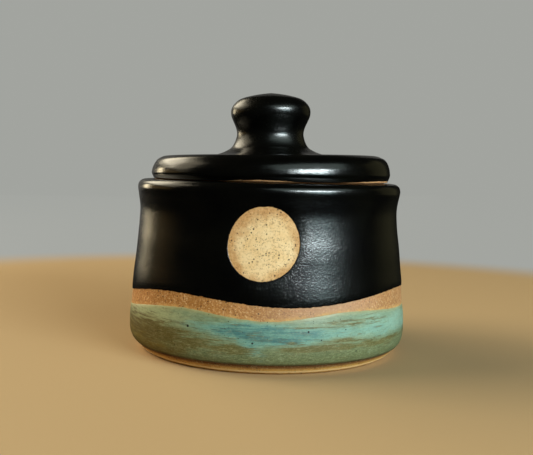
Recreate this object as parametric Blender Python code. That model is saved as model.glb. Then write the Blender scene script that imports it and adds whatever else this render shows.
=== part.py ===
"""Lidded sugar bowl in wheel-thrown stoneware.

The bowl stands on a trimmed foot ring and flares gently from a narrow waist to a low belly. A thick disc lid
rests on the flat seat inside the rim, kept central by a short flange in the mouth, and carries a turned knob.
Every piece is a solid of revolution about Z. Units are metres. The origin is the centre of the foot ring's
underside, and the lid lifts straight up along +Z.
"""

import math

import bmesh
import bpy
from mathutils import Matrix, Vector

SEGMENTS = 52  # round each turned piece
GAP = 0.0003  # left between pieces that rest on each other

# Bowl
FOOT_RADIUS = 0.0497
FOOT_RING_WIDTH = 0.0060
FOOT_RECESS = 0.0025  # how far the underside is trimmed up inside the foot ring
BELLY_RADIUS = 0.0550
BELLY_HEIGHT = 0.0100
WAIST_RADIUS = 0.0509
WAIST_HEIGHT = 0.0552
SHOULDER_RADIUS = 0.0519
SHOULDER_HEIGHT = 0.0631
RIM_HEIGHT = 0.0661
SEAT_OUTER_RADIUS = 0.0482
MOUTH_RADIUS = 0.0428
SEAT_DEPTH = 0.0040  # thickness of the inward ledge that the lid rests on
WALL = 0.0050
FLOOR_TOP = 0.0085
FLOOR_CENTRE = 0.0080

# Lid, with heights measured from the face that rests on the seat
LID_RADIUS = 0.0474
LID_FOOT_RADIUS = 0.0466
LID_CREASE_HEIGHT = 0.0032  # where the edge is widest, over a shallow undercut
LID_TOP = 0.0099  # the disc's top beside the knob
LID_CEILING = 0.0040  # underside of the disc inside the flange, at the centre
FLANGE_RADIUS = 0.0417
FLANGE_WIDTH = 0.0042
FLANGE_DEPTH = 0.0078

# Knob, with heights measured from the lid's top
KNOB_FOOT_RADIUS = 0.0200
KNOB_FOOT_EDGE = 0.0004
KNOB_NECK_RADIUS = 0.0133
KNOB_NECK_HEIGHT = 0.0078
KNOB_RADIUS = 0.0158
KNOB_WIDEST = 0.0168
KNOB_HEIGHT = 0.0245
KNOB_SEAT_CLEARANCE = 0.0003  # round the knob's foot, in the shallow socket of the lid


def point_between(a, b, start, end, at):
    """The point at parameter `at` on the straight line that passes a at `start` and b at `end`."""
    return a.lerp(b, (at - start) / (end - start))


def span(before, start, end, after, steps):
    """Points from start towards end on a centripetal Catmull-Rom curve, without the last one."""
    corners = (before, start, end, after)
    times = [0.0]
    for a, b in zip(corners, corners[1:]):
        times.append(times[-1] + math.sqrt((b - a).length))
    points = []
    for step in range(steps):
        at = times[1] + (times[2] - times[1]) * step / steps
        lines = [
            point_between(corners[i], corners[i + 1], times[i], times[i + 1], at) for i in range(3)
        ]
        bends = [point_between(lines[i], lines[i + 1], times[i], times[i + 2], at) for i in range(2)]
        points.append(point_between(bends[0], bends[1], times[1], times[2], at))
    return points


def smooth(points, steps):
    """A smooth curve through (radius, height) points, with `steps` edges between neighbours."""
    knots = [Vector(p) for p in points]
    first, last = 2 * knots[0] - knots[1], 2 * knots[-1] - knots[-2]
    padded = [first, *knots, last]
    curve = []
    for i in range(len(knots) - 1):
        curve += span(*padded[i : i + 4], steps)
    return [(p.x, p.y) for p in [*curve, knots[-1]]]


def arc(centre, radius, start, end, steps):
    """(radius, height) points on a circular arc. Angles are in degrees, from outwards towards up."""
    turns = [math.radians(start + (end - start) * i / steps) for i in range(steps + 1)]
    return [(centre[0] + radius * math.cos(t), centre[1] + radius * math.sin(t)) for t in turns]


def clay(name, colour, roughness):
    """A plain ceramic material."""
    material = bpy.data.materials.new(name)
    material.use_nodes = True
    shader = material.node_tree.nodes["Principled BSDF"]
    shader.inputs["Base Color"].default_value = (*colour, 1.0)
    shader.inputs["Roughness"].default_value = roughness
    shader.inputs["Metallic"].default_value = 0.0
    return material


def turned(name, outline, material, parent=None, location=(0.0, 0.0, 0.0)):
    """A closed solid: an outline that starts and ends on the axis, spun once round Z."""
    mesh = bmesh.new()
    corners = [mesh.verts.new((radius, 0.0, height)) for radius, height in outline]
    edges = [mesh.edges.new(pair) for pair in zip(corners, corners[1:])]
    bmesh.ops.spin(
        mesh,
        geom=corners + edges,
        cent=(0.0, 0.0, 0.0),
        axis=(0.0, 0.0, 1.0),
        angle=math.tau,
        steps=SEGMENTS,
        use_merge=True,
    )
    bmesh.ops.remove_doubles(mesh, verts=mesh.verts, dist=1e-6)
    bmesh.ops.recalc_face_normals(mesh, faces=mesh.faces)
    data = bpy.data.meshes.new(name)
    mesh.to_mesh(data)
    mesh.free()
    data.materials.append(material)
    data.shade_smooth()
    data.set_sharp_from_angle(angle=math.radians(40))
    piece = bpy.data.objects.new(name, data)
    bpy.context.scene.collection.objects.link(piece)
    piece.parent = parent
    piece.matrix_local = Matrix.Translation(location)
    return piece


def bowl_outline():
    """From the middle of the underside, out under the foot, up the wall, over the rim and down inside."""
    ring_inner = FOOT_RADIUS - FOOT_RING_WIDTH
    underside = [(0.0, FOOT_RECESS), (ring_inner - 0.0012, FOOT_RECESS), (ring_inner, 0.0), (FOOT_RADIUS, 0.0)]
    wall = smooth(
        [
            (FOOT_RADIUS + 0.0005, 0.0005),
            (BELLY_RADIUS - 0.0020, 0.0034),
            (BELLY_RADIUS - 0.0004, 0.0062),
            (BELLY_RADIUS, BELLY_HEIGHT),
            (BELLY_RADIUS - 0.0011, 0.0270),
            (WAIST_RADIUS + 0.0012, 0.0430),
            (WAIST_RADIUS, WAIST_HEIGHT),
            (SHOULDER_RADIUS, SHOULDER_HEIGHT),
            (SHOULDER_RADIUS - 0.0005, RIM_HEIGHT - 0.0014),
            (SHOULDER_RADIUS - 0.0017, RIM_HEIGHT - 0.0003),
            (SEAT_OUTER_RADIUS, RIM_HEIGHT),
        ],
        2,
    )
    ledge_underside = RIM_HEIGHT - SEAT_DEPTH
    mouth = [(MOUTH_RADIUS + 0.0006, RIM_HEIGHT), (MOUTH_RADIUS, RIM_HEIGHT - 0.0006)]
    inside = smooth(
        [
            (MOUTH_RADIUS, ledge_underside),
            (WAIST_RADIUS - WALL, WAIST_HEIGHT - 0.0010),
            (BELLY_RADIUS - 0.0011 - WALL, 0.0280),
            (BELLY_RADIUS - WALL, 0.0170),
            (BELLY_RADIUS - WALL - 0.0030, 0.0110),
            (BELLY_RADIUS - WALL - 0.0110, FLOOR_TOP),
        ],
        2,
    )
    return [*underside, *wall, *mouth, *inside, (0.0, FLOOR_CENTRE)]


def lid_outline():
    """From the middle of the ceiling, down round the flange, out under the disc, over its edge and the top."""
    inner = FLANGE_RADIUS - FLANGE_WIDTH
    tip = FLANGE_WIDTH / 2 - 0.0006
    ceiling = [(0.0, LID_CEILING), (inner - 0.0080, LID_CEILING - 0.0006), (inner - 0.0020, 0.0016)]
    flange = [
        (inner, -0.0010),
        *arc((FLANGE_RADIUS - FLANGE_WIDTH / 2, tip - FLANGE_DEPTH), tip, 180, 360, 4),
        (FLANGE_RADIUS, -0.0010),
        (FLANGE_RADIUS + 0.0002, 0.0),
    ]
    edge = smooth(
        [
            (LID_RADIUS, LID_CREASE_HEIGHT),
            (LID_RADIUS - 0.0002, LID_CREASE_HEIGHT + 0.0016),
            (LID_RADIUS - 0.0009, LID_CREASE_HEIGHT + 0.0034),
            (LID_RADIUS - 0.0024, LID_CREASE_HEIGHT + 0.0053),
            (LID_RADIUS - 0.0052, LID_TOP - 0.0003),
        ],
        2,
    )
    socket = KNOB_FOOT_RADIUS + KNOB_SEAT_CLEARANCE
    top = [
        (socket + 0.0032, LID_TOP),
        (socket, LID_TOP + GAP + KNOB_FOOT_EDGE),
        (socket, LID_TOP),
        (0.0, LID_TOP),
    ]
    return [*ceiling, *flange, (LID_FOOT_RADIUS, 0.0), *edge, *top]


def knob_outline():
    """From the middle of the foot, out, up the flared neck and over the domed head to its small peak."""
    side = smooth(
        [
            (KNOB_FOOT_RADIUS, KNOB_FOOT_EDGE),
            (KNOB_NECK_RADIUS + 0.0022, 0.0027),
            (KNOB_NECK_RADIUS, KNOB_NECK_HEIGHT),
            (KNOB_NECK_RADIUS + 0.0007, 0.0112),
            (KNOB_RADIUS - 0.0001, KNOB_WIDEST - 0.0016),
            (KNOB_RADIUS - 0.0002, KNOB_WIDEST + 0.0016),
            (KNOB_RADIUS - 0.0033, 0.0218),
            (0.0044, KNOB_HEIGHT - 0.0006),
        ],
        2,
    )
    return [(0.0, 0.0), (KNOB_FOOT_RADIUS, 0.0), *side, (0.0, KNOB_HEIGHT)]


def build():
    """The bowl, and the lid and its knob on an empty that lies on the axis the lid lifts along."""
    black = clay("black_glaze", (0.010, 0.011, 0.010), 0.25)
    lid = bpy.data.objects.new("lid", None)
    bpy.context.scene.collection.objects.link(lid)
    lid.location = (0.0, 0.0, RIM_HEIGHT + GAP)
    turned("bowl_body", bowl_outline(), black)
    turned("lid_body", lid_outline(), black, parent=lid)
    turned("lid_knob", knob_outline(), black, parent=lid, location=(0.0, 0.0, LID_TOP + GAP))


for old in list(bpy.data.objects):
    bpy.data.objects.remove(old)
build()
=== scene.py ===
"""Looks of the lidded sugar bowl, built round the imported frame.

Each CAD solid is replaced by its fired clay, and each glaze is a coat of its own that lies on the clay, with a
rounded, slightly rolled edge where it stops: round the bare window, along the bare band, above the foot and
along the lid's lower edge. The clay that shows in the window and in the band is a finer tile of its own.
Lengths are in metres. Azimuths are in radians, 0 at the front (-Y) and growing towards +X.
"""

import math

import bpy
import numpy as np
from mathutils import Matrix, Vector


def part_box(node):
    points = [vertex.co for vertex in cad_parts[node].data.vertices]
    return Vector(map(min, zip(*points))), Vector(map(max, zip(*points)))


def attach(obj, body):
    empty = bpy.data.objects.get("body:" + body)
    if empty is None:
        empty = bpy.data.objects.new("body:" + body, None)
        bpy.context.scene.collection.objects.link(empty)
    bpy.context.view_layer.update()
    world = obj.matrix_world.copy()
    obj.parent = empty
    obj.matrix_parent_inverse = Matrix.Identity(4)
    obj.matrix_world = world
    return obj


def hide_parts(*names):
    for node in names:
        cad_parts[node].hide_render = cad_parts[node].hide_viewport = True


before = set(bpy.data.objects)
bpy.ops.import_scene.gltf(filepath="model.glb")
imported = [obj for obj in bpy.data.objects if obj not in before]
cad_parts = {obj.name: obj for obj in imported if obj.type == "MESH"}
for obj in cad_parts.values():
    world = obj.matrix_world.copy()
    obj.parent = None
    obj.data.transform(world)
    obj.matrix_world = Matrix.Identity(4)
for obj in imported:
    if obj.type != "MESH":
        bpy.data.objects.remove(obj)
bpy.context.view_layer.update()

MM = 0.001
WELD = 1e-7

GLAZE = 0.40 * MM  # thickness of a full coat
SINK = 0.12 * MM  # how far a coat's hidden inner face reaches into the clay
TUCK = 1.2 * MM  # how far a tile of bare clay runs on under the glaze round it
TILE_LIFT = 0.05 * MM  # how far a tile stands off the clay under it

COLUMNS = 640  # of vertices round a coat
CLAY_COLUMNS = 288  # round the clay that lies mostly under glaze
STAGE_COLUMNS = 160  # round the floor and the backdrop


# ---------------------------------------------------------------- outlines

def corners_of(node):
    """A turned node's outline, as (radius, height) corners from the axis at its underside to the axis at its top.

    A flat end has no vertex on the axis, so the outline is carried in to the axis there."""
    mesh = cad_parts[node].data
    spots = {}
    for vertex in mesh.vertices:
        x, y, z = vertex.co
        if abs(y) < 1e-6 and x > -1e-6:
            spots[vertex.index] = (abs(round(x, 6)), round(z, 6))
    links = {}
    for edge in mesh.edges:
        a, b = (spots.get(index) for index in edge.vertices)
        if a and b and a != b:
            links.setdefault(a, set()).add(b)
            links.setdefault(b, set()).add(a)
    path = [min((spot for spot in links if len(links[spot]) == 1), key=lambda spot: spot[1])]
    ahead = path
    while ahead:
        ahead = [spot for spot in links[path[-1]] if spot not in path]
        path += ahead[:1]
    start = [(0.0, path[0][1])] if path[0][0] else []
    end = [(0.0, path[-1][1])] if path[-1][0] else []
    return [*start, *path, *end]


def catmull(points, samples):
    """A centripetal Catmull-Rom curve through 2-D points, with `samples` steps between neighbours."""
    points = np.asarray(points, float)
    padded = np.vstack([2 * points[0] - points[1], points, 2 * points[-1] - points[-2]])
    curve = []
    for i in range(len(points) - 1):
        p = padded[i : i + 4]
        t = np.concatenate([[0.0], np.cumsum(np.sqrt(np.linalg.norm(np.diff(p, axis=0), axis=1)))])
        at = np.linspace(t[1], t[2], samples, endpoint=False)[:, None]
        lines = [p[k] + (p[k + 1] - p[k]) * (at - t[k]) / (t[k + 1] - t[k]) for k in range(3)]
        bends = [lines[k] + (lines[k + 1] - lines[k]) * (at - t[k]) / (t[k + 2] - t[k]) for k in range(2)]
        curve.append(bends[0] + (bends[1] - bends[0]) * (at - t[1]) / (t[2] - t[1]))
    return np.vstack([*curve, points[-1:]])


class Outline:
    """A turned outline as a fine smooth curve with slightly rounded corners, read by length along it."""

    STEP = 0.1 * MM

    def __init__(self, corners, rounding, sharp=38):
        """Corners that turn by more than `sharp` degrees stay corners. The rest are points on a smooth curve."""
        corners = np.asarray(corners, float)
        ways = np.diff(corners, axis=0)
        headings = np.unwrap(np.arctan2(ways[:, 1], ways[:, 0]))
        sharp = [0, *(np.nonzero(np.abs(np.diff(headings)) > math.radians(sharp))[0] + 1), len(corners) - 1]
        parts = [catmull(corners[a : b + 1], 12)[:-1] for a, b in zip(sharp, sharp[1:])]
        curve = np.vstack([*parts, corners[-1:]])
        lengths = np.concatenate([[0.0], np.cumsum(np.linalg.norm(np.diff(curve, axis=0), axis=1))])
        self.length = lengths[-1]
        count = int(self.length / self.STEP)
        self.along = np.linspace(0.0, self.length, count)
        curve = np.stack([np.interp(self.along, lengths, curve[:, k]) for k in range(2)], 1)
        reach = int(3 * rounding / self.STEP)
        weights = np.exp(-0.5 * (np.arange(-reach, reach + 1) * self.STEP / rounding) ** 2)
        mirrored = np.pad(curve, ((reach, reach), (0, 0)), mode="reflect", reflect_type="odd")
        curve = np.stack([np.convolve(mirrored[:, k], weights / weights.sum(), mode="valid") for k in range(2)], 1)
        self.radius, self.height = np.maximum(curve[:, 0], 0.0), curve[:, 1]
        slope = np.gradient(curve, self.along, axis=0)
        slope /= np.linalg.norm(slope, axis=1)[:, None]
        self.out, self.up = slope[:, 1], -slope[:, 0]

    def at(self, along, lift):
        """(radius, height) of points `lift` off the outline."""
        radius, height, out, up = (
            np.interp(along, self.along, values) for values in (self.radius, self.height, self.out, self.up)
        )
        return np.maximum(radius + lift * out, 0.0), height + lift * up

    def climb(self, height, low, high):
        """How far along the outline a height is reached, on the stretch from low to high where it rises."""
        stretch = (self.along >= low) & (self.along <= high)
        return np.interp(height, self.height[stretch], self.along[stretch])

    def farthest(self):
        """How far along the outline its greatest radius is."""
        return self.along[np.argmax(self.radius)]

    def close_in(self, radius, start):
        """How far along the outline its radius first falls to `radius`, after start."""
        return self.along[np.nonzero((self.along > start) & (self.radius <= radius))[0][0]]


# ---------------------------------------------------------------- shaping by hand

def smoothstep(low, high, value):
    share = np.clip((value - low) / (high - low), 0.0, 1.0)
    return share * share * (3.0 - 2.0 * share)


def place(azimuth, radius, height):
    """Points in the row frame."""
    azimuth, radius, height = np.broadcast_arrays(azimuth, radius, height)
    return np.stack([radius * np.sin(azimuth), -radius * np.cos(azimuth), height], -1)


def azimuth_of(points):
    return np.arctan2(points[..., 0], -points[..., 1])


def thrown(points):
    """The bowl's unevenness: slightly out of round, with soft throwing ridges, and leaning out high on one side.

    The out-of-round and the ridges fade at the foot and the seat."""
    azimuth, height = azimuth_of(points), points[..., 2]
    fade = smoothstep(2 * MM, 9 * MM, height) * (1.0 - smoothstep(58 * MM, 63 * MM, height))
    oval = 0.14 * MM * np.cos(2 * azimuth + 0.7) + 0.08 * MM * np.cos(3 * azimuth - 1.2)
    spiral = height + 1.5 * MM * np.sin(azimuth - 0.35)
    ridges = 0.040 * MM * np.sin(2 * np.pi * (spiral - 38.4 * MM) / (13.7 * MM))
    ridges += 0.004 * MM * np.sin(2 * np.pi * spiral / (4.3 * MM) + 0.8 * np.sin(azimuth))
    lean = 0.50 * MM * smoothstep(40 * MM, 53 * MM, height) * np.clip(-np.sin(azimuth), 0.0, 1.0) ** 2
    push = (oval + ridges) * fade + lean
    across = np.stack([np.sin(azimuth), -np.cos(azimuth), np.zeros_like(azimuth)], -1)
    return points + across * push[..., None]


def settled(points):
    """The lid's unevenness: its edge sags, its top isn't quite level, and both it and its knob are off centre."""
    moved = points.copy()
    radius = np.hypot(points[..., 0], points[..., 1])
    above = points[..., 2] - lid_seat
    edge = 0.25 * MM * smoothstep(43 * MM, 46 * MM, radius)
    knob = 0.35 * MM * (1.0 - smoothstep(22 * MM, 38 * MM, radius)) * smoothstep(8 * MM, 10 * MM, above)
    sagged = 0.60 * MM * np.exp(-(((above - 3.2 * MM) / (1.7 * MM)) ** 2)) * smoothstep(43 * MM, 45 * MM, radius)
    moved[..., 0] += edge - knob
    moved[..., 2] -= sagged
    moved[..., 2] += 0.021 * points[..., 0] * smoothstep(0.0, 7 * MM, above)
    return moved


def through(keys, azimuth):
    """A smooth closed curve through (azimuth in degrees, value) keys, read at each azimuth."""
    at, values = (np.array(side, float) for side in zip(*keys))
    at = np.concatenate([at - 360, at, at + 360])
    values = np.tile(values, 3)
    slopes = (values[2:] - values[:-2]) / (at[2:] - at[:-2])
    slopes = np.concatenate([slopes[:1], slopes, slopes[-1:]])
    degrees = np.degrees(azimuth)
    i = np.clip(np.searchsorted(at, degrees) - 1, 0, len(at) - 2)
    gap = at[i + 1] - at[i]
    t = (degrees - at[i]) / gap
    rise = values[i + 1] - values[i]
    start, end = slopes[i] * gap, slopes[i + 1] * gap
    return values[i] + start * t + (3 * rise - 2 * start - end) * t**2 + (start + end - 2 * rise) * t**3


def ragged(angle, size, low, high, seed):
    """Small uneven waves round a closed edge, between low and high waves to the turn."""
    draw = np.random.default_rng(seed)
    count = 36
    waves = draw.integers(low, high, count)
    phases = draw.uniform(0, 2 * np.pi, count)
    strengths = (low / waves) ** 0.5
    return size * (np.cos(waves * angle[..., None] + phases) * strengths).sum(-1) / np.sqrt(count)


# ---------------------------------------------------------------- meshes

def grid(rows, columns):
    """Quads of a closed ring of vertices, row by row, seen from outside."""
    index = np.arange(rows * columns).reshape(rows, columns)
    after = np.roll(index, -1, axis=1)
    return np.stack([index[:-1], after[:-1], after[1:], index[1:]], -1)


def edge_rows(zone, count):
    """Distances from a coat's edge, closest together at the edge itself."""
    return zone * (np.arange(count + 1) / count) ** 1.8


def coat_edge(distance, nose=0.30 * MM, slope=2.4 * MM, drop=0.34):
    """Share of the full thickness at a distance from a coat's edge: a quarter-round nose, then a gentle slope."""
    ahead = 1.0 - np.clip(distance / nose, 0.0, 1.0)
    rise = 1.0 - (1.0 - np.clip(distance / slope, 0.0, 1.0)) ** 1.6
    return np.sqrt(1.0 - ahead**2) * (1.0 - drop + drop * rise)


def finish_mesh(name, points, faces, material, attributes):
    """A smooth-shaded piece from points and faces. Attributes are numbers by vertex that its material reads."""
    mesh = bpy.data.meshes.new(name)
    mesh.from_pydata(points.tolist(), [], [f for part in faces for f in part.tolist()])
    for key, values in attributes.items():
        layer = mesh.attributes.new(key, "FLOAT", "POINT")
        layer.data.foreach_set("value", np.asarray(values, np.float32))
    mesh.materials.append(material)
    mesh.shade_smooth()
    piece = bpy.data.objects.new(name, mesh)
    bpy.context.scene.collection.objects.link(piece)
    bpy.context.view_layer.objects.active = piece
    weld = piece.modifiers.new("weld", "WELD")
    weld.merge_threshold = WELD
    with bpy.context.temp_override(object=piece, active_object=piece):
        bpy.ops.object.modifier_apply(modifier=weld.name)
    return piece


def shell(name, outline, azimuth, along, lift, quads, shape, material, attributes):
    """A closed coat. Its outer face is `lift` off the outline and its inner face is sunk in the clay."""
    count = azimuth.size
    outer = shape(place(azimuth, *outline.at(along, lift)))
    inner = shape(place(azimuth, *outline.at(along, -(GLAZE + SINK))))
    starts, ends = quads.ravel(), np.roll(quads, -1, axis=1).ravel()
    free = ~np.isin(starts * count + ends, ends * count + starts)
    rim = np.stack([ends[free], starts[free], starts[free] + count, ends[free] + count], -1)
    faces = [quads, quads[:, ::-1] + count, rim]
    doubled = {key: np.tile(values, 2) for key, values in attributes.items()}
    return finish_mesh(name, np.vstack([outer, inner]), faces, material, doubled)


def sheet(name, outline, azimuth, along, lift, shape, material, attributes):
    """A shell made of closed rows: its places and attributes are arrays of rows by columns."""
    quads = grid(*along.shape).reshape(-1, 4)
    flat = {key: values.ravel() for key, values in attributes.items()}
    return shell(name, outline, azimuth.ravel(), along.ravel(), lift.ravel(), quads, shape, material, flat)


def turned(name, outline, columns, step, lift, shape, material):
    """A whole closed solid of revolution. lift(along) is how far its surface stands off the outline."""
    rows = int(outline.length / step)
    azimuth, along = np.meshgrid(
        np.linspace(-np.pi, np.pi, columns, endpoint=False), np.linspace(0.0, outline.length, rows)
    )
    points = shape(place(azimuth, *outline.at(along, lift(along)))).reshape(-1, 3)
    return finish_mesh(name, points, [grid(rows, columns).reshape(-1, 4)], material, {})


def band_rows(low, high, zone, edge_count, step):
    """Rows from one edge to the other: close together in each edge's zone, `step` apart between them.

    low and high are lengths along the outline at each column. Gives (rows, columns) lengths."""
    near = edge_rows(zone, edge_count)[:, None]
    rows = max(int((high - low).mean() / step), 4)
    share = np.linspace(0.0, 1.0, rows)[1:-1, None]
    start, end = low + zone, high - zone
    return np.vstack([low + near, start + (end - start) * share, high - near[::-1]])


# ---------------------------------------------------------------- materials

def colour(code):
    """A linear colour from a web-style hex code."""
    parts = [int(code[i : i + 2], 16) / 255 for i in (0, 2, 4)]
    return (*[p / 12.92 if p <= 0.04045 else ((p + 0.055) / 1.055) ** 2.4 for p in parts], 1.0)


class Shader:
    """One material, with short ways to add and link its nodes."""

    def __init__(self, name, ior=1.5):
        self.material = bpy.data.materials.new(name)
        self.material.use_nodes = True
        self.tree = self.material.node_tree
        self.surface = self.tree.nodes["Principled BSDF"]
        self.surface.inputs["IOR"].default_value = ior
        self.place = self.add("ShaderNodeTexCoord").outputs["Object"]

    def add(self, kind, settings=None, **inputs):
        """A node. Input names have underscores for spaces, and i0, i1 and so on are inputs by number."""
        node = self.tree.nodes.new(kind)
        for key, value in (settings or {}).items():
            setattr(node, key, value)
        for key, value in inputs.items():
            socket = node.inputs[int(key[1:])] if key[1:].isdigit() else node.inputs[key.replace("_", " ")]
            self.feed(socket, value)
        return node

    def feed(self, socket, value):
        if isinstance(value, bpy.types.NodeSocket):
            self.tree.links.new(value, socket)
        else:
            socket.default_value = value

    def stretched(self, scale):
        """The place on the object, scaled differently along each axis."""
        return self.add("ShaderNodeMapping", Vector=self.place, Scale=scale).outputs["Vector"]

    def noise(self, size, detail=2.0, roughness=0.5, where=None, warp=0.0):
        """Smooth noise, 0 to 1, whose features are about `size` metres across."""
        node = self.add(
            "ShaderNodeTexNoise", Vector=where or self.place, Scale=1.0 / size, Detail=detail, Roughness=roughness,
            Distortion=warp,
        )
        return node.outputs["Fac"]

    def sums(self, operation, a, b=0.0):
        return self.add("ShaderNodeMath", {"operation": operation}, i0=a, i1=b).outputs[0]

    def ramp(self, value, low, high, start=0.0, end=1.0):
        """value from low to high turned into start to end, smoothly and with ends held."""
        node = self.add(
            "ShaderNodeMapRange", {"interpolation_type": "SMOOTHSTEP"},
            i0=value, i1=low, i2=high, i3=start, i4=end,
        )
        return node.outputs[0]

    def blend(self, share, a, b):
        """Colour a where share is 0 and b where it is 1."""
        node = self.add("ShaderNodeMix", {"data_type": "RGBA"}, i0=share, i6=a, i7=b)
        return node.outputs[2]

    def attribute(self, name):
        return self.add("ShaderNodeAttribute", {"attribute_name": name}).outputs["Fac"]

    def height(self):
        """Height above the table at rest, in metres."""
        return self.add("ShaderNodeSeparateXYZ", i0=self.place).outputs["Z"]

    def specks(self, spacing, size, share):
        """Round specks: 1 inside one. One cell in `share` has a speck, and they differ in size."""
        node = self.add("ShaderNodeTexVoronoi", Vector=self.place, Scale=1.0 / spacing)
        cell = self.add("ShaderNodeSeparateColor", i0=node.outputs["Color"])
        chosen = self.sums("LESS_THAN", cell.outputs[0], share)
        reach = self.ramp(cell.outputs[1], 0.0, 1.0, 0.45 * size / spacing, size / spacing)
        inside = self.sums("SUBTRACT", reach, node.outputs["Distance"])
        return self.sums("MULTIPLY", chosen, self.ramp(inside, 0.0, 0.25 * size / spacing))

    def spots(self, spots):
        """Single round spots on the bowl's wall, each (azimuth in degrees, height, size)."""
        total = 0.0
        for azimuth, height, size in spots:
            centre = thrown(place(math.radians(azimuth), *bowl.at(climb(height), -0.05 * MM)))
            gap = self.add("ShaderNodeVectorMath", {"operation": "DISTANCE"}, i0=self.place, i1=tuple(centre))
            spot = self.ramp(gap.outputs["Value"], 0.35 * size, 0.6 * size, 1.0, 0.0)
            total = self.sums("MAXIMUM", spot, total)
        return total

    def bump(self, height, depth, strength=1.0, under=None):
        node = self.add("ShaderNodeBump", Height=height, Distance=depth, Strength=strength)
        if under is not None:
            self.feed(node.inputs["Normal"], under)
        return node.outputs["Normal"]

    def finish(self, base, roughness, normal):
        self.feed(self.surface.inputs["Base Color"], base)
        self.feed(self.surface.inputs["Roughness"], roughness)
        self.feed(self.surface.inputs["Normal"], normal)
        return self.material


def black_glaze():
    """Satin black glaze: faintly mottled sheen, fine orange peel, and brown where it thins out at an edge."""
    s = Shader("black_glaze", ior=1.6)
    clouds = s.noise(14 * MM, 3.0)
    grain = s.noise(0.55 * MM, 2.0)
    peel = s.noise(2.6 * MM, 3.0)
    base = s.blend(s.ramp(clouds, 0.3, 0.7), colour("010101"), colour("040402"))
    base = s.blend(s.ramp(s.attribute("edge"), 0.05 * MM, 0.28 * MM, 0.75, 0.0), base, colour("33200f"))
    roughness = s.sums("ADD", s.ramp(clouds, 0.25, 0.75, 0.165, 0.195), s.ramp(grain, 0.3, 0.7, -0.015, 0.025))
    roughness = s.sums("ADD", roughness, s.ramp(s.height(), 59 * MM, 63 * MM, 0.035, 0.0))  # satin below the rim
    roughness = s.sums("ADD", roughness, s.ramp(s.height(), 75 * MM, 78 * MM, 0.0, 0.065))  # and on the knob
    normal = s.bump(peel, 0.030 * MM, 0.6)
    pitted = s.ramp(s.height(), 59 * MM, 63 * MM, 1.0, 0.35)
    normal = s.bump(grain, 0.100 * MM, pitted, under=normal)
    return s.finish(base, roughness, normal)


def clay_surface(name, pale, warm, toasted, toast, grit=1.0):
    """Bare stoneware. toast(shader) gives the share by which it is browned, from 0 to 1: by the fire, and on the
    foot by painted shade.
    """
    s = Shader(name, ior=1.45)
    clouds = s.noise(6 * MM, 4.0, 0.6)
    sand = s.noise(0.75 * MM, 3.0, 0.8)
    base = s.blend(s.ramp(clouds, 0.3, 0.72), pale, warm)
    base = s.blend(toast(s), base, toasted)
    base = s.blend(s.ramp(sand, 0.34, 0.50, 0.62 * grit, 0.0), base, colour("7d4c20"))
    base = s.blend(s.ramp(sand, 0.52, 0.70, 0.0, 0.34 * grit), base, colour("f6e2b6"))
    fine = s.specks(0.80 * MM, 0.24 * MM, 0.55)
    large = s.specks(1.10 * MM, 0.34 * MM, 0.50)
    base = s.blend(s.sums("MULTIPLY", fine, 0.55), base, colour("5c3716"))
    base = s.blend(s.sums("MULTIPLY", large, 0.88), base, colour("2a180a"))
    roughness = s.ramp(sand, 0.3, 0.7, 0.72, 0.90)
    normal = s.bump(sand, 0.12 * MM, 0.6 * grit)
    normal = s.bump(s.sums("MAXIMUM", fine, large), -0.06 * MM, 0.8, under=normal)
    return s, base, roughness, normal


def window_clay():
    def toast(s):
        wander = s.noise(4.5 * MM, 3.0)
        inset = s.sums("ADD", s.attribute("edge"), s.ramp(wander, 0.3, 0.7, -1.3 * MM, 1.3 * MM))
        inset = s.sums("SUBTRACT", inset, s.sums("MULTIPLY", s.attribute("upper_left"), 2.2 * MM))
        return s.ramp(inset, 0.0, 3.8 * MM, 0.72, 0.0)

    s, *look = clay_surface("window_clay", colour("efd3a2"), colour("e6c28b"), colour("bb8446"), toast, grit=0.8)
    return s.finish(*look)


def band_clay():
    """The bare band: browned clay, paled by a painted highlight at the front right, with a patchy yellowish line
    of painted highlight along its lower edge.
    """

    def toast(s):
        return s.ramp(s.noise(9 * MM, 3.0), 0.35, 0.65, 0.25, 0.75)

    s, base, roughness, normal = clay_surface(
        "band_clay", colour("be864a"), colour("ae783a"), colour("9c6a2c"), toast, grit=1.55
    )
    # Painted highlight: the band is paler at the front right, where the light falls most.
    base = s.blend(s.sums("MULTIPLY", s.attribute("pale"), 0.6), base, colour("c29e84"))
    uneven = s.ramp(s.noise(3.2 * MM, 3.0), 0.3, 0.7, 0.0, 0.75)
    # Painted highlight: a patchy yellowish line along the band's lower edge, where it catches the light.
    line = s.sums("MULTIPLY", s.ramp(s.attribute("highlight_line_gap"), 0.1 * MM, 1.4 * MM, 1.0, 0.0), uneven)
    base = s.blend(line, base, colour("cfa564"))
    return s.finish(base, roughness, normal)


def body_clay():
    """The foot: golden clay, darkened by painted shade where it meets the glaze, and with a painted highlight
    along its lower lip.
    """

    def toast(s):
        # Painted shade in the hollow just under the glaze's lower edge.
        near_glaze = s.ramp(s.height(), 1.6 * MM, 3.5 * MM)
        return s.sums("MULTIPLY", near_glaze, 0.95)

    s, base, roughness, normal = clay_surface(
        "body_clay", colour("cb9d50"), colour("bd8b42"), colour("5a340e"), toast, grit=0.8
    )
    # Painted highlight along the foot's rounded lower lip, where it catches the light.
    up, down = s.ramp(s.height(), 0.6 * MM, 1.0 * MM), s.ramp(s.height(), 1.2 * MM, 1.8 * MM, 1.0, 0.0)
    lit_lip = s.sums("MULTIPLY", s.sums("MULTIPLY", up, down), 0.7)
    base = s.blend(lit_lip, base, colour("f0d29a"))
    return s.finish(base, roughness, normal)


def lid_clay_material():
    def toast(s):
        return s.ramp(s.noise(7 * MM, 3.0), 0.35, 0.7, 0.1, 0.6)

    s, *look = clay_surface("lid_clay", colour("e6b483"), colour("d9a06a"), colour("bb7c44"), toast)
    return s.finish(*look)


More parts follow.
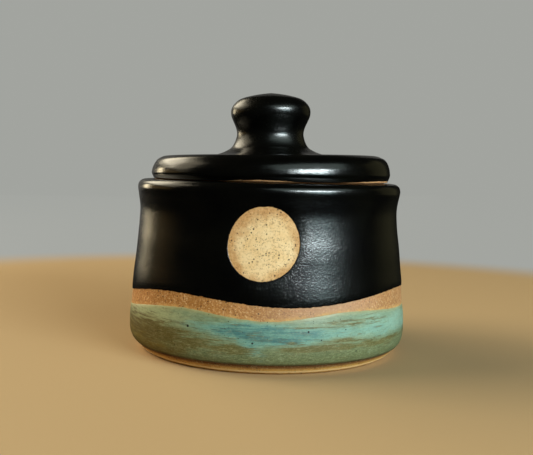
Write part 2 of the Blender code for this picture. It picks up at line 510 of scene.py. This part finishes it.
# Single iron spots in the blue-green glaze, as (azimuth in degrees, height, size).
IRON_SPOTS = (
    (-30, 16 * MM, 0.95 * MM), (-5, 12 * MM, 0.75 * MM), (15, 16 * MM, 0.75 * MM), (30, 16 * MM, 0.50 * MM),
    (35, 8 * MM, 0.55 * MM), (20, 13 * MM, 0.50 * MM), (130, 12 * MM, 0.85 * MM), (-150, 15 * MM, 0.75 * MM),
)


def blue_green_glaze():
    """Blue-green glaze in level strokes: blue in pools, olive in breaks, browner on the left with painted shade
    and warm lamplight, and milkier on the right with painted light.
    """
    s = Shader("blue_green_glaze", ior=1.5)
    strokes = s.noise(10 * MM, 5.0, 0.65, s.stretched((1.0, 1.0, 12.0)), warp=0.3)
    hairs = s.noise(3.2 * MM, 5.0, 0.75, s.stretched((1.0, 1.0, 11.0)))
    clouds = s.noise(8 * MM, 5.0, 0.6, s.stretched((1.0, 1.0, 2.0)))
    milk = s.noise(1.1 * MM, 3.0, 0.8, s.stretched((1.0, 1.0, 1.9)))
    top, foot, painted_left_shade = s.attribute("top"), s.attribute("foot"), s.attribute("painted_left_shade")
    low = s.ramp(s.height(), 7.5 * MM, 11.5 * MM, 1.0, 0.0)
    # Painted light: a pale, milky tone over the glaze's right side, where the window's light falls.
    painted_right_light = s.sums("MULTIPLY", s.attribute("painted_right_light"), s.ramp(clouds, 0.3, 0.7, 0.35, 0.75))

    base = s.blend(s.ramp(clouds, 0.3, 0.7), colour("718465"), colour("7e8c6c"))
    base = s.blend(s.sums("MULTIPLY", low, 0.8), base, colour("60663f"))
    # Painted shade and warm lamplight for the left side: brown olive low down, khaki higher up.
    browned = s.blend(s.ramp(s.height(), 10 * MM, 18 * MM), colour("6d5a20"), colour("9aa27a"))
    uneven = s.ramp(clouds, 0.3, 0.7, -0.2, 0.2)
    base = s.blend(s.ramp(s.sums("ADD", painted_left_shade, uneven), 0.15, 0.95), base, browned)

    pool = s.sums("ADD", s.attribute("blue"), s.ramp(clouds, 0.25, 0.75, -0.20, 0.20))
    pool = s.sums("ADD", pool, s.ramp(strokes, 0.25, 0.75, -0.28, 0.28))
    pool = s.sums("ADD", pool, s.ramp(hairs, 0.25, 0.75, -0.18, 0.18))
    deep = s.blend(s.ramp(pool, 0.72, 1.25), colour("6e9c8e"), colour("3c7072"))
    base = s.blend(s.ramp(pool, 0.12, 0.85), base, deep)
    # Painted light: the right side paled towards a milky seafoam.
    base = s.blend(painted_right_light, base, colour("9fc3b0"))

    breaks = s.sums("ADD", s.attribute("olive"), s.ramp(strokes, 0.25, 0.75, -0.65, 0.65))
    breaks = s.sums("ADD", breaks, s.ramp(hairs, 0.25, 0.75, -0.30, 0.30))
    olive = s.blend(s.ramp(hairs, 0.3, 0.7), colour("544b1c"), colour("70683a"))
    # Painted shade and warm lamplight: the olive breaks turn browner on the left side.
    olive = s.blend(s.sums("MULTIPLY", painted_left_shade, 0.7), olive, colour("54400f"))
    base = s.blend(s.ramp(breaks, 0.20, 0.85, 0.0, 0.94), base, olive)

    threads = s.noise(3.6 * MM, 4.0, 0.6, s.stretched((1.0, 1.0, 2.6)), warp=1.2)
    threads = s.sums("ABSOLUTE", s.sums("SUBTRACT", threads, 0.5))
    # Fewer pale threads on the left side, where the painted shade lies.
    share = s.sums("MULTIPLY", low, s.ramp(painted_left_shade, 0.0, 0.8, 0.5, 0.15))
    base = s.blend(s.sums("MULTIPLY", s.ramp(threads, 0.005, 0.028, 1.0, 0.0), share), base, colour("98a277"))
    base = s.blend(s.ramp(hairs, 0.52, 0.70, 0.0, 0.42), base, colour("b4bd98"))
    base = s.blend(s.ramp(hairs, 0.29, 0.47, 0.48, 0.0), base, colour("3a3f20"))
    base = s.blend(s.ramp(milk, 0.52, 0.72, 0.0, 0.20), base, colour("c3cdae"))
    base = s.blend(s.ramp(milk, 0.30, 0.48, 0.30, 0.0), base, colour("2e3a24"))
    base = s.blend(s.ramp(foot, 0.1 * MM, 1.6 * MM, 0.9, 0.0), base, colour("48330d"))
    base = s.blend(s.ramp(top, 0.05 * MM, 1.6 * MM, 0.5, 0.0), base, colour("a39a66"))
    pits = s.specks(1.2 * MM, 0.26 * MM, 0.35)
    base = s.blend(s.sums("MULTIPLY", pits, 0.7), base, colour("2c2a12"))
    base = s.blend(s.spots(IRON_SPOTS), base, colour("0a0806"))
    roughness = s.sums("ADD", s.ramp(strokes, 0.3, 0.7, 0.36, 0.46), s.ramp(milk, 0.3, 0.7, -0.03, 0.05))
    normal = s.bump(hairs, 0.03 * MM, 0.6)
    normal = s.bump(milk, 0.02 * MM, 0.8, under=normal)
    return s.finish(base, roughness, normal)


# ---------------------------------------------------------------- bowl

bowl = Outline(corners_of("bowl_body"), rounding=0.30 * MM)
lid = Outline(corners_of("lid_body"), rounding=0.18 * MM, sharp=18)
lid_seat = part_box("bowl_body")[1].z  # the height of the seat that the lid rests on

belly = bowl.farthest()
rim_top = bowl.along[np.argmax(bowl.height)]
foot_turn = bowl.along[np.nonzero((bowl.along < belly) & (bowl.height < 0.15 * MM))[0][-1]]
seat_edge = bowl.close_in(46.0 * MM, belly)  # where the outer black glaze stops on the seat
mouth_edge = bowl.close_in(43.4 * MM, belly)  # where the clay starts to be lined

# Heights of the band's edges at their crests and troughs, as (azimuth in degrees, height).
BLACK_EDGE = (
    (-130, 24.0 * MM), (-90, 22.0 * MM), (-40, 27.0 * MM), (10, 24.0 * MM), (60, 27.5 * MM), (90, 26.0 * MM),
    (130, 24.5 * MM), (180, 25.5 * MM),
)
BLUE_EDGE = (
    (-130, 18.5 * MM), (-90, 16.5 * MM), (-35, 22.0 * MM), (0, 19.5 * MM), (30, 22.0 * MM), (60, 20.5 * MM),
    (90, 19.0 * MM), (135, 18.0 * MM), (180, 20.0 * MM),
)

# Where the blue-green glaze lies thick and blue, and where it breaks to olive, as
# (azimuth in degrees, height, reach in degrees, reach in height, strength).
BLUE_POOLS = (
    (-15, 16.5 * MM, 8, 2 * MM, 0.8), (0, 15.5 * MM, 10, 3 * MM, 0.95), (10, 14 * MM, 8, 2 * MM, 0.8),
    (-5, 10 * MM, 4, 2 * MM, 0.6), (25, 15.5 * MM, 8, 1.5 * MM, 0.6), (45, 15.5 * MM, 10, 2.5 * MM, 0.6),
    (65, 14 * MM, 15, 3.5 * MM, 0.5), (-30, 16.5 * MM, 8, 1.5 * MM, 0.3), (105, 13.5 * MM, 15, 2.5 * MM, 0.8),
    (150, 15 * MM, 15, 2.5 * MM, 0.9), (-160, 13 * MM, 12, 2 * MM, 0.7), (-120, 15 * MM, 12, 2 * MM, 0.4),
)
OLIVE_BREAKS = (
    (15, 17.5 * MM, 5, 0.6 * MM, 0.6), (35, 18 * MM, 10, 1 * MM, 0.65), (30, 12.5 * MM, 6, 0.6 * MM, 1.0),
    (10, 10 * MM, 8, 1 * MM, 1.0), (30, 10 * MM, 10, 1 * MM, 0.95), (50, 10 * MM, 10, 1 * MM, 0.9),
    (-10, 9.5 * MM, 6, 1 * MM, 0.7), (-25, 10.5 * MM, 10, 2 * MM, 0.6), (-45, 11.5 * MM, 10, 3 * MM, 0.6),
    (-60, 13 * MM, 20, 4.5 * MM, 0.6), (100, 18 * MM, 15, 1 * MM, 0.5), (90, 9.5 * MM, 18, 1.5 * MM, 0.7),
    (130, 11 * MM, 15, 1.5 * MM, 0.8), (180, 17.5 * MM, 12, 1 * MM, 0.5), (-140, 11 * MM, 18, 2 * MM, 0.7),
    (-105, 10 * MM, 20, 2.5 * MM, 0.6),
)

# Shares round the bowl, as (azimuth in degrees, share): how strongly the painted highlight pales the band, how
# strongly painted shade and warm lamplight darken and brown the glaze on the left, and how strongly painted light
# pales it on the right.
PAINTED_BAND_HIGHLIGHT = ((-180, 0.3), (-60, 0.1), (-12, 0.1), (20, 1.0), (36, 0.8), (55, 0.25), (120, 0.6))
PAINTED_LEFT_SHADE = ((-180, 0.2), (-120, 0.5), (-75, 1.0), (-42, 0.75), (-20, 0.12), (60, 0.0), (130, 0.1))
PAINTED_RIGHT_LIGHT = ((-180, 0.2), (-60, 0.0), (18, 0.1), (38, 0.55), (60, 0.9), (85, 0.5), (140, 0.3))

WINDOW_AZIMUTH = math.radians(-2)
WINDOW_HEIGHT = 45.5 * MM
WINDOW_RADIUS = 12.5 * MM
WINDOW_REACH = 13.1 * MM  # at its widest
WINDOW_WALL = 51.3 * MM  # radius of the wall at the window, which turns azimuths into lengths


def climb(height):
    return bowl.climb(height, foot_turn, rim_top)


def black_edge(azimuth):
    return climb(through(BLACK_EDGE, azimuth)) + ragged(azimuth, 0.17 * MM, 40, 310, 3)


def blue_edge(azimuth):
    return climb(through(BLUE_EDGE, azimuth)) + ragged(azimuth, 0.10 * MM, 14, 120, 5)


def foot_edge(azimuth):
    level = 3.5 * MM + 0.3 * MM * np.cos(2 * azimuth)
    return climb(level) + ragged(azimuth, 0.09 * MM, 12, 160, 7)


def window_edge(angle):
    """The bare window's radius round its centre: a round drawn out a little, dented at the top and ragged."""
    angle = np.angle(np.exp(1j * angle))
    drawn_out = 0.35 * MM * np.cos(2 * (angle - math.radians(65)))
    dent = 0.2 * MM * np.exp(-(((angle - math.radians(90)) / math.radians(5)) ** 2))
    return WINDOW_RADIUS + drawn_out - dent + ragged(angle, 0.07 * MM, 12, 90, 11)


def pooled(pools, azimuth, height):
    """How far each point lies in any of the pools, from 0 to 1."""
    total = 0.0
    for centre, level, wide, high, strength in pools:
        turn = np.degrees(np.angle(np.exp(1j * (azimuth - math.radians(centre)))))
        total = total + strength * np.exp(-0.5 * ((turn / wide) ** 2 + ((height - level) / high) ** 2))
    return np.clip(total, 0.0, 1.0)


def window_ring(angle, out):
    """Azimuth and length along the wall of points `out` beyond the window's outline."""
    radius = window_edge(angle) + out
    centre = climb(WINDOW_HEIGHT)
    return WINDOW_AZIMUTH + radius * np.cos(angle) / WINDOW_WALL, centre + radius * np.sin(angle)


def bowl_clay():
    """The whole fired body. It stands at the CAD's size where it is bare and one coat lower where it is glazed."""

    def lift(along):
        glazed = smoothstep(foot_turn, foot_turn + 3 * MM, along)
        glazed *= 1 - smoothstep(seat_edge, seat_edge + 0.6 * MM, along)
        lined = smoothstep(mouth_edge - 0.4 * MM, mouth_edge + 0.4 * MM, along)
        undercut = np.exp(-(((along - foot_turn - 0.1 * MM) / (0.5 * MM)) ** 2))
        return -GLAZE * (glazed + lined) - 0.38 * MM * undercut

    piece = turned("bowl_clay", bowl, CLAY_COLUMNS, 0.8 * MM, lift, thrown, body_clay())
    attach(piece, "bowl")
    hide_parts("bowl_body")


def window_tile():
    """The bare clay seen through the round window, gritty, and tucked under the glaze all round."""
    draw = np.random.default_rng(21)
    columns, rings = 300, 44
    angle = np.linspace(0, 2 * np.pi, columns, endpoint=False)
    share = np.linspace(1.0, 0.0, rings)[:, None]
    azimuth, along = window_ring(angle, TUCK)
    azimuth = WINDOW_AZIMUTH + (azimuth - WINDOW_AZIMUTH) * share
    along = climb(WINDOW_HEIGHT) + (along - climb(WINDOW_HEIGHT)) * share
    inset = (window_edge(angle) + TUCK) * (1 - share) - TUCK
    upper_left = np.broadcast_to(np.clip(np.cos(angle - math.radians(140)), 0, 1), inset.shape)
    lift = -GLAZE + TILE_LIFT + draw.normal(0.0, 0.010 * MM, azimuth.shape)
    lift[-1] = lift[-1].mean()
    attributes = {"edge": inset, "upper_left": upper_left}
    piece = sheet("window_clay", bowl, azimuth, along, lift, thrown, window_clay(), attributes)
    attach(piece, "bowl")


def band_tile():
    """The wavy band of bare clay between the two glazes."""
    draw = np.random.default_rng(22)
    columns, rows = 900, 26
    around = np.linspace(-np.pi, np.pi, columns, endpoint=False)
    low, high = blue_edge(around) - TUCK, black_edge(around) + TUCK
    along = low + (high - low) * np.linspace(0.0, 1.0, rows)[:, None]
    azimuth = np.broadcast_to(around, along.shape)
    lift = -GLAZE + TILE_LIFT + draw.normal(0.0, 0.012 * MM, azimuth.shape)
    attributes = {"highlight_line_gap": along - low - TUCK, "pale": through(PAINTED_BAND_HIGHLIGHT, azimuth)}
    piece = sheet("band_clay", bowl, azimuth, along, lift, thrown, band_clay(), attributes)
    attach(piece, "bowl")


def open_window(around, azimuth, along, distance):
    """Opens the round window in a coat made of rows. Gives the new azimuth, along and distance, and the quads.

    The block of quads round the window gives way to rings that close in on the window's edge."""
    quads = grid(*along.shape)
    reach = (WINDOW_REACH + 2.8 * MM) / WINDOW_WALL
    left = np.searchsorted(around, WINDOW_AZIMUTH - reach)
    right = np.searchsorted(around, WINDOW_AZIMUTH + reach)
    middle = along[:, (left + right) // 2]
    bottom = np.searchsorted(middle, climb(WINDOW_HEIGHT) - WINDOW_REACH - 2.6 * MM)
    top = np.searchsorted(middle, climb(WINDOW_HEIGHT) + WINDOW_REACH + 2.0 * MM)
    keep = np.ones(quads.shape[:2], bool)
    keep[bottom:top, left:right] = False
    loop = [(bottom, c) for c in range(left, right)] + [(r, right) for r in range(bottom, top)]
    loop += [(top, c) for c in range(right, left, -1)] + [(r, left) for r in range(top, bottom, -1)]
    inner = np.array([r * len(around) + c for r, c in loop])
    block_azimuth, block_along = azimuth.ravel()[inner], along.ravel()[inner]
    angle = np.arctan2(block_along - climb(WINDOW_HEIGHT), (block_azimuth - WINDOW_AZIMUTH) * WINDOW_WALL)
    edge_azimuth, edge_along = window_ring(angle, 0.0)
    gap = np.hypot((block_azimuth - edge_azimuth) * WINDOW_WALL, block_along - edge_along)
    near = edge_rows(1.8 * MM, 12)[::-1]
    outs = [gap + (near[0] - gap) * share for share in (0.25, 0.5, 0.75)] + [np.full(gap.shape, d) for d in near]
    ring_azimuth, ring_along, ring_quads = [], [], []
    for number, out in enumerate(outs):
        share = out / gap
        ring_azimuth.append(edge_azimuth + (block_azimuth - edge_azimuth) * share)
        ring_along.append(edge_along + (block_along - edge_along) * share)
        new = azimuth.size + number * len(loop) + np.arange(len(loop))
        ring_quads.append(np.stack([inner, np.roll(inner, -1), np.roll(new, -1), new], -1))
        inner = new
    azimuth = np.concatenate([azimuth.ravel(), *ring_azimuth])
    along = np.concatenate([along.ravel(), *ring_along])
    distance = np.concatenate([distance.ravel(), *outs])
    used, quads = np.unique(np.concatenate([quads[keep], *ring_quads]), return_inverse=True)
    return azimuth[used], along[used], distance[used], quads.reshape(-1, 4)


def bowl_black_coat(material):
    """Black glaze from the wavy band up over the rim to the seat, with the round window left open in it."""
    zone, edge_count, step = 2.6 * MM, 13, 0.95 * MM
    around = np.linspace(-np.pi, np.pi, COLUMNS, endpoint=False)
    low = black_edge(around)
    high = seat_edge + ragged(around, 0.10 * MM, 10, 150, 9)
    along = band_rows(low, high, zone, edge_count, step)
    azimuth = np.broadcast_to(around, along.shape)
    distance = np.minimum(along - low, high - along)
    azimuth, along, distance, quads = open_window(around, azimuth, along, distance)

    rim_turn = climb(64.7 * MM)
    rim_roll = 0.10 * MM * np.exp(-(((along - rim_turn) / (0.45 * MM)) ** 2))
    from_window = np.hypot((azimuth - WINDOW_AZIMUTH) * WINDOW_WALL, along - climb(WINDOW_HEIGHT))
    beside_window = coat_edge(distance, slope=3.4 * MM, drop=0.62)
    thickness = np.where(from_window < 22 * MM, beside_window, coat_edge(distance))
    lift = -GLAZE + GLAZE * thickness + rim_roll
    piece = shell("bowl_black_glaze", bowl, azimuth, along, lift, quads, thrown, material, {"edge": distance})
    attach(piece, "bowl")


def bowl_blue_coat():
    """Blue-green glaze from just above the foot up to the band. It thins towards its top edge."""
    zone, edge_count, step = 2.2 * MM, 10, 0.6 * MM
    around = np.linspace(-np.pi, np.pi, COLUMNS, endpoint=False)
    low, high = foot_edge(around), blue_edge(around)
    along = band_rows(low, high, zone, edge_count, step)
    azimuth = np.broadcast_to(around, along.shape)
    under, over = along - low, high - along
    thickness = GLAZE * coat_edge(under) * coat_edge(over, nose=1.1 * MM, drop=0.45)
    thickness *= 0.70 + 0.30 * smoothstep(0.0, 5 * MM, over)
    height = bowl.at(along, 0.0)[1]
    # Painted light on the right side, above the glaze's lower part.
    painted_right_light = through(PAINTED_RIGHT_LIGHT, azimuth) * smoothstep(11 * MM, 14 * MM, height)
    attributes = {
        "top": over, "foot": under, "painted_left_shade": through(PAINTED_LEFT_SHADE, azimuth), "painted_right_light": np.clip(painted_right_light, 0.0, 1.0),
        "blue": pooled(BLUE_POOLS, azimuth, height), "olive": pooled(OLIVE_BREAKS, azimuth, height),
    }
    piece = sheet(
        "bowl_blue_green_glaze", bowl, azimuth, along, thickness - GLAZE, thrown, blue_green_glaze(), attributes
    )
    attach(piece, "bowl")


def bowl_liner(material):
    """Black glaze inside the bowl, from the mouth's edge down over the floor."""
    around = np.linspace(-np.pi, np.pi, 360, endpoint=False)
    low = mouth_edge + 0.5 * MM + ragged(around, 0.10 * MM, 10, 90, 13)
    near = edge_rows(2.0 * MM, 9)[:, None]
    rows = int((bowl.length - low.mean()) / (0.9 * MM))
    share = np.linspace(0.0, 1.0, rows)[1:, None]
    along = np.vstack([low + near, low + near[-1] + (bowl.length - low - near[-1]) * share])
    azimuth = np.broadcast_to(around, along.shape)
    distance = along - low
    lift = -GLAZE + GLAZE * coat_edge(distance)
    piece = sheet("bowl_liner_glaze", bowl, azimuth, along, lift, thrown, material, {"edge": distance})
    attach(piece, "bowl")


# ---------------------------------------------------------------- lid

lid_widest = lid.farthest()
lid_bottom_edge = lid.along[np.nonzero((lid.along < lid_widest) & (lid.radius < 46.45 * MM))[0][-1]]

# Height of the bare strip along the lid's lower edge, as (azimuth in degrees, height).
BARE_STRIP = (
    (-160, 0.3 * MM), (-60, -0.5 * MM), (-25, -0.5 * MM), (-15, 0.5 * MM), (0, 0.8 * MM), (20, 0.0),
    (60, 1.0 * MM), (130, 0.3 * MM),
)


def lid_clay():
    """The lid's fired body: bare on the flange and the resting face, one coat lower under the glaze."""
    ceiling_end = lid.along[np.nonzero(lid.height < lid_seat + 0.5 * MM)[0][0]]

    def lift(along):
        glazed = smoothstep(lid_bottom_edge - 1.3 * MM, lid_bottom_edge - 0.8 * MM, along)
        lined = 1 - smoothstep(ceiling_end - 1.5 * MM, ceiling_end, along)
        resting = smoothstep(lid_bottom_edge - 4 * MM, lid_bottom_edge - 3 * MM, along)
        resting *= 1 - smoothstep(lid_bottom_edge - 2.2 * MM, lid_bottom_edge - 1.4 * MM, along)
        strip = np.exp(-(((along - lid_bottom_edge - 0.3 * MM) / (0.8 * MM)) ** 2))
        return -GLAZE * 0.9 * (glazed + lined) + 0.25 * MM * resting + 0.18 * MM * strip

    piece = turned("lid_clay", lid, CLAY_COLUMNS, 0.7 * MM, lift, settled, lid_clay_material())
    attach(piece, "lid")
    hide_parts("lid_body")


def lid_black_coat(material):
    """Black glaze over the lid's edge and top, with a ragged lower edge, running on under the knob."""
    around = np.linspace(-np.pi, np.pi, COLUMNS, endpoint=False)
    low = lid_bottom_edge + through(BARE_STRIP, around) + ragged(around, 0.12 * MM, 25, 300, 17)
    end = lid.close_in(23.6 * MM, lid_widest)
    crease = lid_widest + ragged(around, 0.18 * MM, 22, 240, 23)
    near = edge_rows(1.2 * MM, 8)[:, None]
    share = np.linspace(0.0, 1.0, 8)[1:, None]
    above = np.concatenate([np.arange(1, 14) * 0.26 * MM, np.arange(6, 46) * 0.7 * MM])[:, None]
    above = above[above[:, 0] < end - lid_widest - 0.4 * MM]
    along = np.vstack([low + near, low + near[-1] + (crease - low - near[-1]) * share, crease + above])
    azimuth = np.broadcast_to(around, along.shape)
    distance = along - low
    # The coat gathers along the crease and thins out just above it.
    gathered = 1.12 - 0.50 * np.clip((along - crease) / (2.2 * MM), 0.0, 1.0)
    gathered += 0.38 * smoothstep(4 * MM, 14 * MM, along - crease)
    lift = -GLAZE + GLAZE * coat_edge(distance) * gathered
    piece = sheet("lid_black_glaze", lid, azimuth, along, lift, settled, material, {"edge": distance})
    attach(piece, "lid")


def lid_liner(material):
    """Black glaze on the lid's ceiling, inside the flange."""
    around = np.linspace(-np.pi, np.pi, 320, endpoint=False)
    end = lid.along[np.nonzero(lid.height < lid_seat + 1.0 * MM)[0][0]] - 0.8 * MM
    high = end + ragged(around, 0.15 * MM, 8, 70, 19)
    near = edge_rows(2.0 * MM, 9)[::-1, None]
    share = np.linspace(0.0, 1.0, 36)[:-1, None]
    along = np.vstack([(high - near[0]) * share, high - near])
    azimuth = np.broadcast_to(around, along.shape)
    distance = high - along
    lift = -GLAZE + GLAZE * coat_edge(distance)
    piece = sheet("lid_liner_glaze", lid, azimuth, along, lift, settled, material, {"edge": distance})
    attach(piece, "lid")


def lid_knob(material):
    """The glazed knob: the CAD's side, with a faint ring round its neck and its foot run out in a fillet."""
    corners = corners_of("lid_knob")
    top = lid.at(np.array([lid.close_in(30 * MM, lid_widest)]), 0.0)[1][0]
    side = [corner for corner in corners if corner[1] > corners[0][1] + 0.3 * MM]
    fillet = [
        (0.0, top - 1.2 * MM), (27.5 * MM, top - 1.2 * MM), (27.5 * MM, top - 0.06 * MM),
        (25.2 * MM, top + 0.02 * MM), (23.0 * MM, top + 0.16 * MM),
    ]
    outline = Outline(fillet + side, rounding=0.30 * MM)

    def lift(along):
        height = outline.at(along, 0.0)[1]
        ring = np.exp(-(((height - 83.4 * MM) / (1.0 * MM)) ** 2))
        return 0.022 * MM * ring

    piece = turned("lid_knob_glazed", outline, 320, 0.35 * MM, lift, settled, material)
    # The knob has no edge of its own, so its glaze is set well clear of one and doesn't brown.
    clear = 9 * MM
    layer = piece.data.attributes.new("edge", "FLOAT", "POINT")
    layer.data.foreach_set("value", np.full(len(piece.data.vertices), clear, np.float32))
    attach(piece, "lid")
    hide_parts("lid_knob")


# ---------------------------------------------------------------- stage, light and camera

def stage_material():
    """Plain pale stage: warm where the bowl stands, turning into an even grey some way behind it."""
    s = Shader("stage")
    flat = s.add("ShaderNodeVectorMath", {"operation": "LENGTH"}, i0=s.place).outputs["Value"]
    far = s.ramp(flat, 0.27, 0.36)
    s.feed(s.surface.inputs["Base Color"], s.blend(far, colour("b99b72"), colour("000000")))
    s.feed(s.surface.inputs["Emission Color"], s.blend(far, colour("000000"), colour("a2a49f")))
    s.surface.inputs["Emission Strength"].default_value = 1.0
    s.surface.inputs["Specular IOR Level"].default_value = 0.1
    s.surface.inputs["Roughness"].default_value = 0.75
    return s.material


def stage():
    """A round floor, and a backdrop that goes on from it and sweeps up all round."""
    material = stage_material()
    sweep = [(0.4, 0.0), (1.6, 0.0), (1.9, 0.05), (2.1, 0.25), (2.15, 0.5), (2.15, 2.4)]
    for name, corners in (("floor", [(0.0, 0.0), (0.2, 0.0), (0.4, 0.0)]), ("backdrop", sweep)):
        path = catmull(corners, 10)
        azimuth = np.linspace(-np.pi, np.pi, STAGE_COLUMNS, endpoint=False)
        points = place(azimuth, path[:, :1], path[:, 1:]).reshape(-1, 3)
        quads = grid(len(path), STAGE_COLUMNS).reshape(-1, 4)[:, ::-1]
        piece = finish_mesh(name, points, [quads], material, {})
        piece.visible_glossy = False
        piece.visible_diffuse = name == "floor"


def softbox(name, azimuth, elevation, distance, spread, radiance, tint, mirrored=True):
    """A soft rectangular light that faces the bowl. Angles are in degrees; spread is how wide and high it looks.

    A light that isn't mirrored only fills: the glaze doesn't reflect it."""
    data = bpy.data.lights.new(name, "AREA")
    data.shape = "RECTANGLE"
    data.size, data.size_y = (2 * distance * math.tan(math.radians(angle / 2)) for angle in spread)
    data.energy = radiance * math.pi * data.size * data.size_y
    data.color = tint
    lamp = bpy.data.objects.new(name, data)
    bpy.context.scene.collection.objects.link(lamp)
    centre = Vector((0.0, 0.0, 0.05))
    flat = distance * math.cos(math.radians(elevation))
    lamp.location = centre + Vector(
        (flat * math.sin(math.radians(azimuth)), -flat * math.cos(math.radians(azimuth)),
         distance * math.sin(math.radians(elevation)))
    )
    lamp.rotation_euler = (centre - lamp.location).to_track_quat("-Z", "Y").to_euler()
    lamp.visible_camera = False
    lamp.visible_glossy = mirrored


def lights():
    softbox("window", 39, 19.5, 1.3, (30, 5), 52.0, (0.88, 0.98, 1.0))
    softbox("window_halo", 39, 20.5, 1.3, (46, 11), 3.2, (0.80, 0.98, 1.0))
    softbox("window_sill", 43.5, 8, 1.3, (18, 11), 5.6, (0.70, 0.98, 1.0))
    softbox("window_top", 40, 37, 1.3, (64, 26), 0.9, (0.76, 0.97, 0.90))
    softbox("lamp_left", -129, 31, 1.4, (34, 20), 3.4, (1.0, 0.89, 0.68))
    softbox("lamp_glow", -118, 32, 1.4, (58, 32), 1.4, (1.0, 0.88, 0.62))
    softbox("wall_left", -129, 6, 1.5, (9, 14), 8.0, (1.0, 0.84, 0.55))
    softbox("room_left", -108, 6, 1.5, (32, 12), 0.30, (1.0, 0.60, 0.18))
    softbox("room_right", 125, 12, 1.5, (36, 34), 0.08, (1.0, 0.92, 0.45))
    softbox("wall_behind", -165, 12, 1.5, (60, 34), 0.15, (1.0, 0.98, 0.90))
    softbox("fill_left", -95, 36, 1.4, (36, 30), 6.5, (1.0, 0.93, 0.74), mirrored=False)
    softbox("fill_right", 72, 5, 1.4, (38, 14), 2.9, (0.92, 1.0, 0.95), mirrored=False)
    world = bpy.data.worlds.new("studio")
    world.use_nodes = True
    world.node_tree.nodes["Background"].inputs["Color"].default_value = (0.012, 0.012, 0.010, 1.0)
    bpy.context.scene.world = world


def camera():
    """At the photograph's viewing angle: close, a little above the rim, and rolled by a degree or so."""
    data = bpy.data.cameras.new("camera")
    data.sensor_width = 36.0
    data.lens = 52.76
    data.clip_start = 0.01
    standpoint = (-0.95 * MM, -315 * MM, 71.1 * MM)
    looking_down, rolled = 4.33, 1.4  # degrees
    view = bpy.data.objects.new("camera", data)
    bpy.context.scene.collection.objects.link(view)
    pitch = Matrix.Rotation(math.radians(90 - looking_down), 4, "X")
    roll = Matrix.Rotation(math.radians(rolled), 4, "Z")
    view.matrix_world = Matrix.Translation(standpoint) @ pitch @ roll
    bpy.context.scene.camera = view


black = black_glaze()
camera()
bowl_clay()
window_tile()
band_tile()
bowl_black_coat(black)
bowl_blue_coat()
bowl_liner(black)
lid_clay()
lid_black_coat(black)
lid_liner(black)
lid_knob(black)
stage()
lights()
bpy.context.scene.view_settings.view_transform = "Standard"
